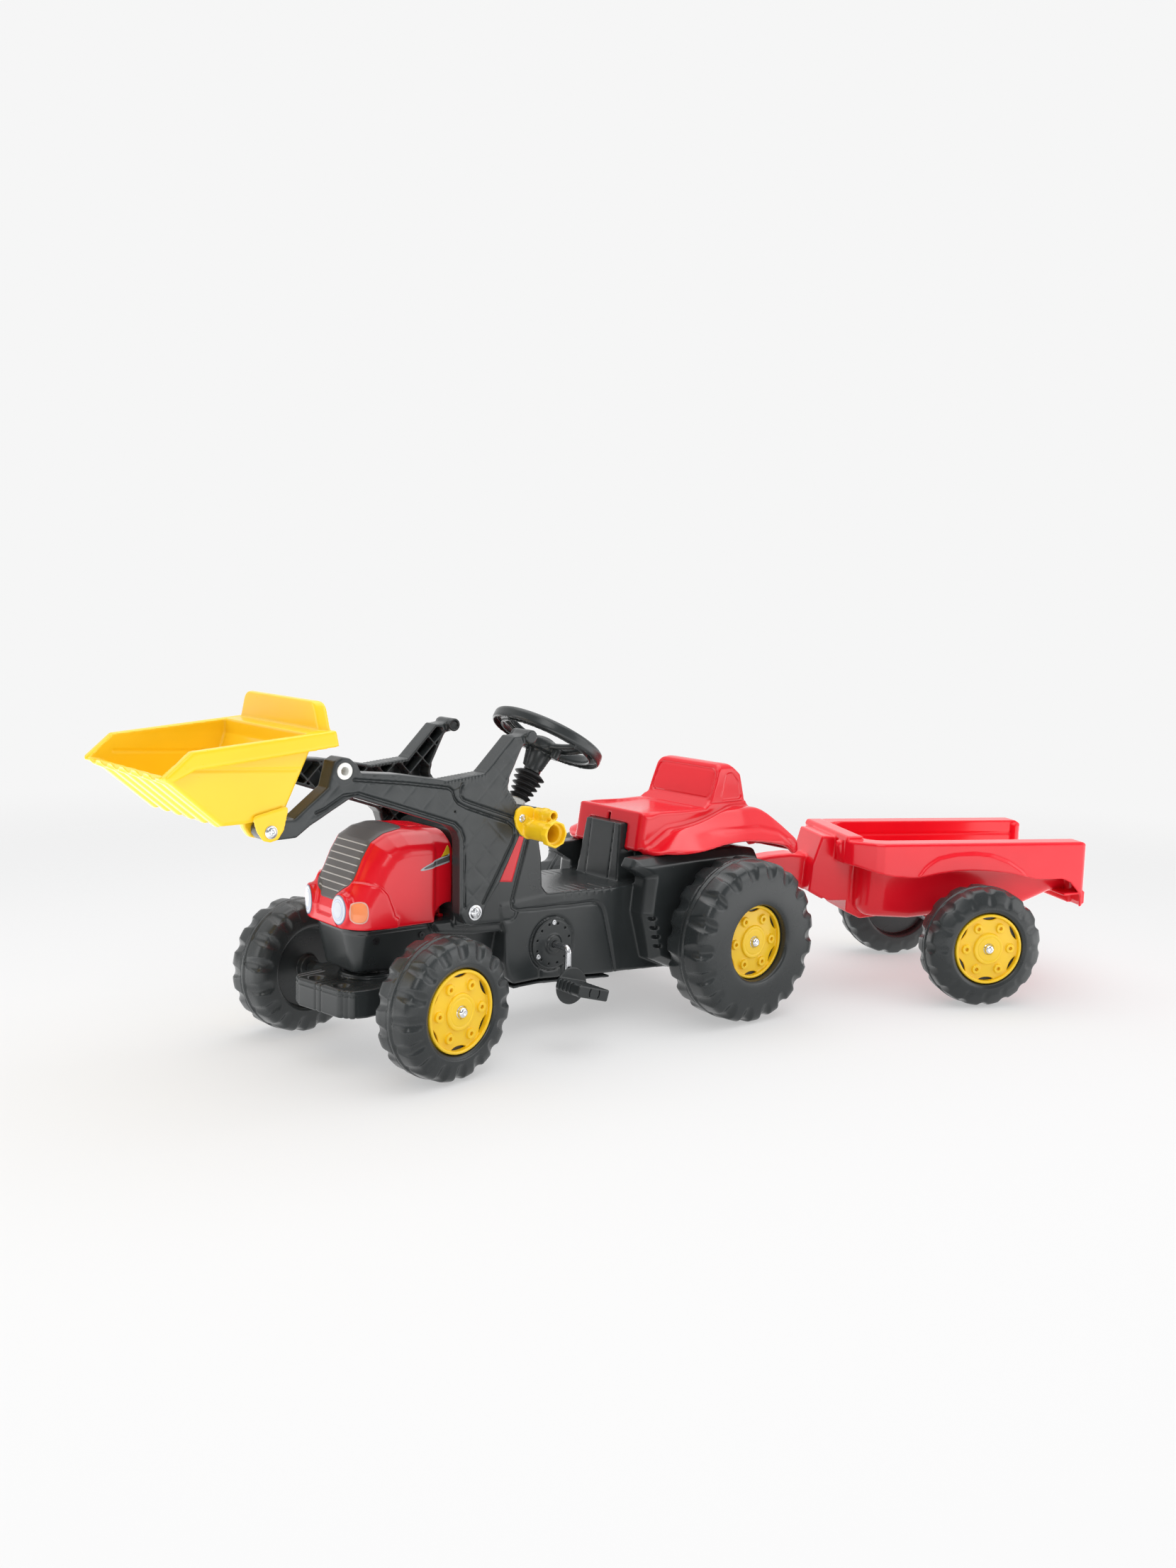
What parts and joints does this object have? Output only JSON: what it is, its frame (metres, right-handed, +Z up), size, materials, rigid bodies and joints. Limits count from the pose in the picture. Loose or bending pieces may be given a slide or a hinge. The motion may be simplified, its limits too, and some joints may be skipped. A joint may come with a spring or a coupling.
{
  "type": "ride on tractor toy",
  "caption": "Child's pedal ride-on tractor with a tipping front loader bucket, steered front axle, chain-driven rear wheel and a hitched single-axle tub trailer.",
  "frame": {"origin": "Middle of the footprint box of the tractor and trailer in the stored pose, at ground level.", "axes": "+X forwards along the tractor, towards the loader bucket; +Y to the rider's left; +Z up."},
  "size_m": [1.7848, 0.6678, 0.5527],
  "materials": {
    "red_plastic": "glossy moulded plastic",
    "yellow_plastic": "glossy moulded plastic",
    "black_plastic": "fine-textured charcoal black moulded plastic",
    "wheel_black": "matt black moulded plastic wheel with tread blocks",
    "black_rubber": "matt flexible bellows",
    "white_plastic": "natural white bearing plastic",
    "zinc_steel": "zinc-plated steel",
    "bright_cap": "bright domed push caps"
  },
  "bodies": {
    "chassis": {"chassis_body": "black_plastic", "belly_cover": "black_plastic", "bonnet": "red_plastic", "bonnet_screws": "zinc_steel", "seat_mudguards": "red_plastic", "seat_screws": "zinc_steel", "rear_bush_left": "white_plastic", "rear_bush_right": "white_plastic", "drive_chain": "zinc_steel", "crank_cover_left": "black_plastic", "crank_cover_right": "black_plastic", "crank_cover_screws": "zinc_steel", "kingpin": "zinc_steel", "column_bush": "white_plastic", "column_bellows": "black_rubber", "loader_pivot_bolts": "zinc_steel", "hitch_bracket": "black_plastic", "hitch_screws": "zinc_steel", "hitch_pin": "zinc_steel"},
    "front_axle": {"front_axle_beam": "black_plastic", "front_stub_axles": "zinc_steel", "front_push_caps": "bright_cap"},
    "front_wheel_left": {"front_tyre_left": "wheel_black", "front_cap_left": "yellow_plastic"},
    "front_wheel_right": {"front_tyre_right": "wheel_black", "front_cap_right": "yellow_plastic"},
    "rear_axle": {"rear_axle_rod": "zinc_steel", "axle_sprocket": "zinc_steel", "rear_tyre_left": "wheel_black", "rear_cap_left": "yellow_plastic", "rear_push_caps": "bright_cap"},
    "rear_wheel_right": {"rear_tyre_right": "wheel_black", "rear_cap_right": "yellow_plastic"},
    "crank": {"pedal_crank": "zinc_steel", "crank_sprocket": "zinc_steel", "crank_collars": "zinc_steel"},
    "left_pedal": {"pedal_left": "black_plastic"},
    "right_pedal": {"pedal_right": "black_plastic"},
    "steering": {"steering_wheel": "black_plastic", "steering_hub_cap": "black_plastic", "steering_shaft": "zinc_steel", "steering_arm": "zinc_steel"},
    "steering_link": {"drag_link": "zinc_steel"},
    "loader": {"loader_arm_left": "black_plastic", "loader_arm_right": "black_plastic", "arm_eyelets": "white_plastic", "loader_grip": "yellow_plastic", "grip_screw": "zinc_steel"},
    "loader_bucket": {"bucket": "yellow_plastic", "bucket_pivot_bolts": "zinc_steel"},
    "trailer": {"trailer_tub": "red_plastic", "trailer_axle_rod": "zinc_steel", "trailer_push_caps": "bright_cap", "trailer_axle_spacers": "white_plastic"},
    "trailer_wheel_left": {"trailer_tyre_left": "wheel_black", "trailer_cap_left": "yellow_plastic"},
    "trailer_wheel_right": {"trailer_tyre_right": "wheel_black", "trailer_cap_right": "yellow_plastic"}
  },
  "joints": [
    {"name": "axle_steer", "type": "hinge", "parent": "chassis", "child": "front_axle", "pos_m": [0.50506, -0.10133, 0.107], "axis": [0, 0, 1], "range_deg": [-33.94, 16.06]},
    {"name": "column_turn", "type": "hinge", "parent": "chassis", "child": "steering", "pos_m": [0.16786, -0.10133, 0.471], "axis": [-0.5, 0, 0.866], "range_deg": [-44.32, 21.08]},
    {"name": "link_swing", "type": "hinge", "parent": "steering", "child": "steering_link", "pos_m": [0.35244, -0.13267, 0.16419], "axis": [-0.5, 0, 0.866], "range_deg": [-21.08, 44.32]},
    {"name": "front_left_roll", "type": "hinge", "parent": "front_axle", "child": "front_wheel_left", "pos_m": [0.47829, 0.06888, 0.10665], "axis": [-0.1554, 0.9879, 0], "continuous": true},
    {"name": "front_right_roll", "type": "hinge", "parent": "front_axle", "child": "front_wheel_right", "pos_m": [0.53183, -0.27154, 0.10665], "axis": [-0.1554, 0.9879, 0], "continuous": true},
    {"name": "rear_drive", "type": "hinge", "parent": "chassis", "child": "rear_axle", "pos_m": [-0.10914, -0.10133, 0.1375], "axis": [0, 1, 0], "continuous": true},
    {"name": "rear_right_roll", "type": "hinge", "parent": "rear_axle", "child": "rear_wheel_right", "pos_m": [-0.10914, -0.28963, 0.1375], "axis": [0, 1, 0], "continuous": true},
    {"name": "crank_turn", "type": "hinge", "parent": "chassis", "child": "crank", "pos_m": [0.21686, -0.10133, 0.151], "axis": [0, 1, 0], "continuous": true},
    {"name": "left_pedal_turn", "type": "hinge", "parent": "crank", "child": "left_pedal", "pos_m": [0.21686, 0.06667, 0.093], "axis": [0, 1, 0], "continuous": true},
    {"name": "right_pedal_turn", "type": "hinge", "parent": "crank", "child": "right_pedal", "pos_m": [0.21686, -0.26933, 0.209], "axis": [0, 1, 0], "continuous": true},
    {"name": "loader_lift", "type": "hinge", "parent": "chassis", "child": "loader", "pos_m": [0.39286, -0.10133, 0.228], "axis": [0, 1, 0], "range_deg": [0, 48]},
    {"name": "bucket_tip", "type": "hinge", "parent": "loader", "child": "loader_bucket", "pos_m": [0.73386, -0.10133, 0.379], "axis": [0, 1, 0], "range_deg": [0, 75]},
    {"name": "trailer_swing", "type": "hinge", "parent": "chassis", "child": "trailer", "pos_m": [-0.24864, -0.10133, 0.225], "axis": [0, 0, 1], "range_deg": [-23.27, 76.73]},
    {"name": "trailer_left_roll", "type": "hinge", "parent": "trailer", "child": "trailer_wheel_left", "pos_m": [-0.53521, 0.25852, 0.10665], "axis": [0.4498, 0.8931, 0], "continuous": true},
    {"name": "trailer_right_roll", "type": "hinge", "parent": "trailer", "child": "trailer_wheel_right", "pos_m": [-0.70838, -0.08534, 0.10665], "axis": [0.4498, 0.8931, 0], "continuous": true}
  ],
  "couplings": [
    {"joint": "column_turn", "follows": "axle_steer", "ratio": 1.3},
    {"joint": "link_swing", "follows": "axle_steer", "ratio": -1.3},
    {"joint": "crank_turn", "follows": "rear_drive", "ratio": 0.66667}
  ]
}
